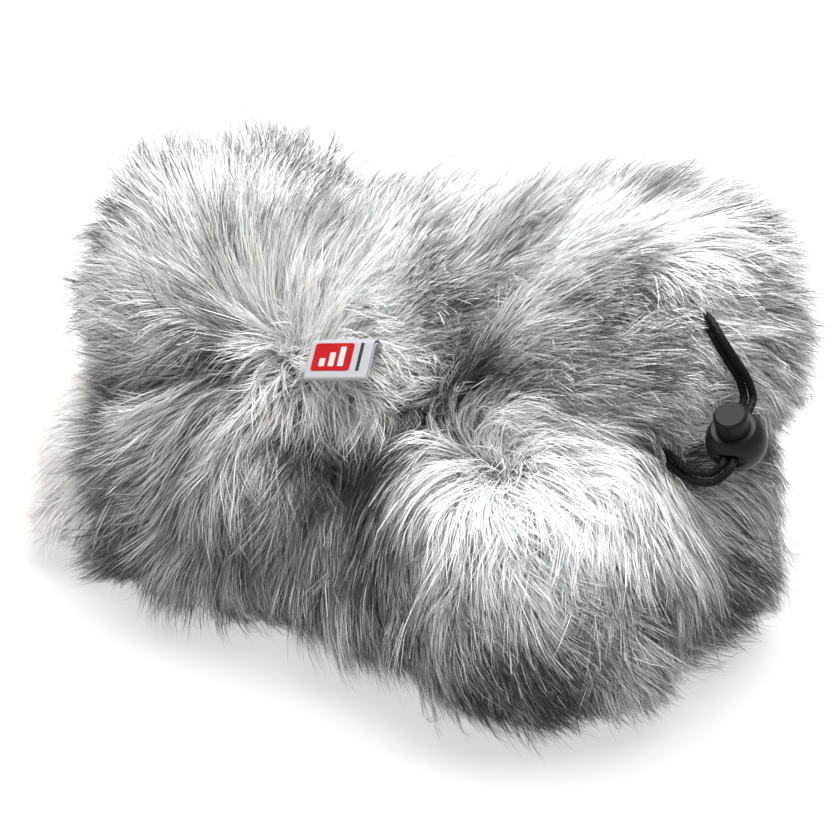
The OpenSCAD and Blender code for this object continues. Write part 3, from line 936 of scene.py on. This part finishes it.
# ---- the pile ------------------------------------------------------------------------
SEGMENTS = 5
UNDER_SEGMENTS = 3
HAIRS_PER_LOCK = 11
LOCK_SPACING = 2.0  # between the middles of neighbouring locks of hair
UNDER_SPACING = 0.95
HAIR_WIDTH = 0.24
PATH_STEPS = 10
HAIR_LENGTH = 36
UNDER_LENGTH = 18
ROOT_DEPTH = PILE - 0.8
ROOT_LEAN = 25  # degrees from straight out of the backing
MAX_PROUD = 12.5  # how far the pile may stand clear of the bag's surface
LIE, UNDER_LIE = 74, 48  # how far over the tips bend, in degrees
STRAY_SHARE = 0.08
MAX_HAIRS = 20000  # a piece
# How pale the pile is round its crowns: centre, reach and share. Part of this paleness is painted
# light, which lifts the shade between the parted hairs and brightens the ball's top.
PALE_CROWNS = ((COWLICK, 22, 1.0), (BALL_PALE, 27, 1.1))
# No hair goes past this box, so that the visual model keeps to the CAD's size.
PILE_LOW = (-132, -83, 0.3)
PILE_HIGH = (142, 83, 151)


def spread_over(panel, spacing, rng):
    """Places over a panel, as (s, v), a spacing apart on average."""
    (s0, s1), (v0, v1) = PANELS[panel]
    rows, columns = 80, 90
    s = np.linspace(s0, s1, rows + 1)
    v = np.linspace(v0, v1, columns + 1)
    grid = bag_point(s[:, None], v[None, :], 6.0)
    du, dv = np.diff(grid, axis=0)[:, :-1], np.diff(grid, axis=1)[:-1]
    area = np.linalg.norm(np.cross(du, dv), axis=-1).ravel()
    count = int(area.sum() / spacing**2)
    at = (np.arange(count) + rng.random(count)) / count * area.sum()
    cell = np.searchsorted(np.cumsum(area), at).clip(0, area.size - 1)
    i, j = cell // columns, cell % columns
    return (
        s0 + (i + rng.random(count)) * (s1 - s0) / rows,
        v0 + (j + rng.random(count)) * (v1 - v0) / columns,
    )


def near(p, centre, reach):
    return np.exp(-(((p - centre) / reach) ** 2).sum(-1))


def lock_paths(root, rng, under=False):
    """The middle line of each lock of hair, from the backing to its tip, and the way
    out of the bag along it. A lock leaves the backing steeply and bends over."""
    n = len(root)
    drift = 26 * noise(root, 9, 11) + 16 * noise(root, 22, 12) + rng.normal(0, 16, n)
    drift = np.radians(drift)
    long = (UNDER_LENGTH if under else HAIR_LENGTH) * (1 + rng.normal(0, 0.08, n))
    long *= 1 + 0.16 * noise(root, 14, 13)
    lie = LIE - 21 * noise(root, 12, 14) + rng.normal(0, 9, n)
    lie -= 12 * ease((-71 - root[:, 0]) / 25) + 8 * ease((root[:, 2] - 100) / 20)
    lie += 22 * near(root, LOW_TOP, 26)
    long *= 1 - 0.3 * near(root, LOW_TOP, 26)
    if under:
        drift += rng.normal(0, 0.9, n)
        lie = np.full(n, float(UNDER_LIE))
        long *= 1 + 0.6 * np.maximum(near(root, COWLICK, 22), near(root, BALL_TOP, 22))
    path, out = [root], []
    p, depth = root, np.full(n, ROOT_DEPTH)
    for k in range(PATH_STEPS):
        u = (k + 0.5) / PATH_STEPS
        normal = normal_at(on_skin(p, np.zeros(n)))
        out.append(normal)
        flow, firm = comb(p, normal)
        across = np.cross(normal, flow)
        flow = flow * np.cos(drift)[:, None] + across * np.sin(drift)[:, None]
        lean = np.radians(ROOT_LEAN + (lie - ROOT_LEAN) * u**0.8) * (0.6 + 0.4 * firm)
        step = long / PATH_STEPS
        depth = np.maximum(depth - step * np.cos(lean), -may_stand(p))
        p = on_skin(p + flow * (step * np.sin(lean))[:, None], depth)
        p[:, 2] = np.maximum(p[:, 2], 0.4)
        path.append(p)
    out.append(out[-1])
    return np.stack(path, 1), np.stack(out, 1)


def hair_paths(path, out, rng, each, segments):
    """Hairs round the middle line of each lock, the way out of the bag and how far
    along its lock each point is."""
    n = len(path) * each
    of = np.repeat(np.arange(len(path)), each)
    share = rng.uniform(0.8, 1.0, len(path))[of] * rng.uniform(0.72, 1.0, n)
    u = np.linspace(0, 1, segments + 1)[None, :] * share[:, None]
    at = u * PATH_STEPS
    low = np.minimum(at.astype(int), PATH_STEPS - 1)
    f = (at - low)[..., None]
    middle = path[of[:, None], low] * (1 - f) + path[of[:, None], low + 1] * f
    normal = unit(out[of[:, None], low] * (1 - f) + out[of[:, None], low + 1] * f)
    ahead = unit(np.gradient(middle, axis=1))
    aside = unit(np.cross(normal, ahead))
    angle = rng.uniform(0, 2 * np.pi, n)[:, None]
    radius = LOCK_SPACING * np.sqrt(rng.random(n))[:, None]
    stray = rng.random((n, 1)) < STRAY_SHARE
    gather = rng.uniform(0.0, 0.6, len(path))[of][:, None]
    spread = 1.0 - gather * u
    splay = rng.normal(0, 2.2, (n, 1)) * (1 + 1.8 * stray) * u**1.6
    lift = (rng.normal(0, 1.3, (n, 1)) + 2.4 * stray) * u**1.5
    wave = 0.5 * np.sin(2 * np.pi * (rng.uniform(0.5, 1.5, (n, 1)) * u + rng.random((n, 1)))) * u
    p = middle + aside * (radius * np.cos(angle) * spread + splay + wave)[..., None]
    p += ahead * (radius * np.sin(angle) * (1 - u))[..., None]
    p += normal * lift[..., None]
    return keep_clear(p), normal, u, of


def hair_tones(p, u, of, rng, under=False):
    """A tone for each segment: pale bodies with darker hairs among them, and tips that darken. The
    pile is palest at the crowns, partly as painted light, and darkest low down and in the folds, as
    painted shade."""
    n = len(p)
    root, mid = p[:, 0], p[:, p.shape[1] // 2]
    own = (u[:, 1:] + u[:, :-1]) / 2 / u[:, -1:]
    patch = noise(root, 16, 21) + 0.6 * noise(root, 6, 22)
    crown = np.max([share * near(root, at, reach) for at, reach, share in PALE_CROWNS], axis=0)
    # Painted shade: the pile is darker low down, and more so towards the closed end, where less
    # light from above reaches.
    low = ease((98 - root[:, 2]) / 62) * (1.9 + 0.8 * ease((10 - root[:, 0]) / 40))
    # Painted shade in the folds between lobes, left off the tops over the mouth lobe's back and off
    # the crowns.
    on_top = ease((mid[:, 2] - 98) / 12)
    on_back = np.maximum(ease((66 - mid[:, 0]) / 20), ease((mid[:, 1] - 8) / 14))
    fold = hollow(mid) * (1 - on_top * on_back)
    # Painted light: the lower part of the closed end is made paler.
    end = ease((-68 - mid[:, 0]) / 20) * ease((85 - mid[:, 2]) / 20)
    shade = low + FOLD_SHADE_SHIFT * fold * (1 - np.minimum(crown, 1)) + END_LIGHT_SHIFT * end
    for centre, reach, shift in SHADES:
        shade += shift * near(mid, centre, reach)
    if under:
        # The underfur is paler at the crowns, as painted light.
        body = rng.uniform(0.3, 2.2, n) + shade + UNDER_CROWN_SHIFT * crown
        # Painted shade: the underfur darkens towards its roots, deep in the pile, except at the
        # crowns.
        tone = body[:, None] + 1.5 * ease((0.5 - own) / 0.5) * (1 - crown)[:, None]
    else:
        kind = rng.random(n)
        body = np.where(kind < 0.6, rng.uniform(0.0, 1.6, n), rng.uniform(1.6, 3.6, n))
        body = np.where(kind > 0.88, rng.uniform(4.2, 7.0, n), body)
        # The crowns' paler bodies are partly painted light.
        body += 0.6 * patch + shade - 0.6 + CROWN_SHIFT * crown
        tipped = 0.42 + 0.55 * noise(root, 15, 24) + rng.normal(0, 0.22, of[-1] + 1)[of]
        # Fewer dark tips where the crowns part the pile, and fewer on the closed end's lower part
        # as painted light.
        tipped = np.clip(tipped - 0.7 * end, 0, 1) * (1 - 0.85 * np.minimum(crown, 1))
        start = TIP_START + rng.normal(0, 0.06, n) + 0.1 * crown
        strength = TIP_SHIFT * tipped * rng.uniform(0.6, 1.1, n)
        tone = body[:, None] + ease((own - start[:, None]) / 0.2) * strength[:, None]
    tone = np.clip(np.rint(tone), 0, len(TONES) - 1).astype(int)
    warm = ease((-56 - root[:, 0]) / 30) * 0.8 + 0.25 + 0.25 * noise(root, 30, 23)
    return tone + len(TONES) * (rng.random(n) < warm)[:, None]


def hair_mesh(name, p, normal, tone, materials, rng):
    """Hairs as narrow ribbons that taper to a point."""
    n, segments = len(p), p.shape[1] - 1
    ahead = unit(np.gradient(p, axis=1))
    aside = unit(np.cross(normal, ahead))
    up = np.cross(ahead, aside)
    roll = rng.normal(0, 0.5, n)[:, None, None]
    flat = aside * np.cos(roll) + up * np.sin(roll)
    u = np.linspace(0, 1, segments + 1)
    width = HAIR_WIDTH * rng.uniform(0.7, 1.25, n)[:, None] * (1 - u[None] ** 4)
    half = flat * width[..., None] / 2
    left, right, tip = (p - half)[:, :-1], (p + half)[:, :-1], p[:, -1:]
    points = np.concatenate([np.stack([left, right], 2).reshape(n, -1, 3), tip], 1)
    per = 2 * segments + 1
    one = []
    for k in range(segments - 1):
        one += [2 * k, 2 * k + 1, 2 * k + 3, 2 * k + 2]
    one += [2 * segments - 2, 2 * segments - 1, 2 * segments]
    corners = (np.array(one)[None] + per * np.arange(n)[:, None]).ravel()
    sizes = np.tile([4] * (segments - 1) + [3], n)
    return make_mesh(name, points.reshape(-1, 3), corners, sizes, materials, tone.ravel())


def make_pile(panel, materials):
    """The hairs of one panel, in pieces of no more than MAX_HAIRS: long hairs in
    locks, over short and finer ones that hide the backing."""
    rng = np.random.default_rng(sum(map(ord, panel)))
    wider = 1.5 if panel == "fur_bottom_panel" else 1
    pieces = []
    for kind, spacing, each, segments in (
        ("pile", LOCK_SPACING, HAIRS_PER_LOCK, SEGMENTS),
        ("under", UNDER_SPACING, 1, UNDER_SEGMENTS),
    ):
        under = kind == "under"
        s, v = spread_over(panel, spacing * wider, rng)
        root = bag_point(s, v, ROOT_DEPTH)
        path, out = lock_paths(root, rng, under)
        p, normal, u, of = hair_paths(path, out, rng, each, segments)
        tone = hair_tones(p, u, of, rng, under)
        count = math.ceil(len(p) / MAX_HAIRS / (2 if under else 1))
        for k, part in enumerate(np.array_split(np.arange(len(p)), count)):
            name = f"{kind}_{panel[4:]}_{k + 1}"
            made = hair_mesh(name, p[part], normal[part], tone[part], materials, rng)
            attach(made, "bag")
            pieces.append(made)
    return pieces


# ---- floor and light ----------------------------------------------------------------
def add_floor():
    points = np.array([[-3000, -3000, 0], [3000, -3000, 0], [3000, 3000, 0], [-3000, 3000, 0]])
    white = principled(
        "floor", (0.26, 0.26, 0.26), 0.95, Specular_IOR_Level=0.0,
        Emission_Color=(1, 1, 1, 1), Emission_Strength=0.62,
    )
    floor = make_mesh("floor", points, [0, 1, 2, 3], [4], [white])


def add_light(name, at, size, power):
    data = bpy.data.lights.new(name, "AREA")
    data.size = size
    data.energy = power
    lamp = bpy.data.objects.new(name, data)
    lamp.location = at
    down = np.array(VIEW_TARGET) - np.array(at)
    lamp.rotation_euler = (
        math.atan2(math.hypot(down[0], down[1]), -down[2]),
        0,
        math.atan2(down[1], down[0]) - math.pi / 2,
    )
    bpy.context.scene.collection.objects.link(lamp)


def light_scene():
    world = bpy.data.worlds.new("studio")
    world.use_nodes = True
    world.node_tree.nodes["Background"].inputs["Color"].default_value = (1, 1, 1, 1)
    world.node_tree.nodes["Background"].inputs["Strength"].default_value = 0.36
    bpy.context.scene.world = world
    bpy.context.scene.view_settings.view_transform = "Standard"
    add_light("overhead", (0.12, 0.12, 1.3), 1.35, 50)
    add_light("front", (-0.3, -1.3, 1.1), 0.8, 4)


add_camera()
finish = piece_materials()
add_spring(finish)
add_cords(finish)
fur = fur_materials()
add_lining(finish)
made = []
for panel in PANELS:
    pile = make_pile(panel, fur)
    made += pile
    add_backing(panel, finish)
for name, at in LONG_SEAMS.items():
    add_seam(name, np.linspace(*SEAM_SPAN, 110), at, finish)
add_seam("end", END_SEAM, turn_in(360), finish, closed=True)
add_seam("mouth", MOUTH_SEAM, turn_in(360), finish, closed=True)
add_drawcord(finish)
add_label(finish)
add_floor()
light_scene()

print("faces", sum(len(o.data.polygons) for o in made), "pieces", len(made))
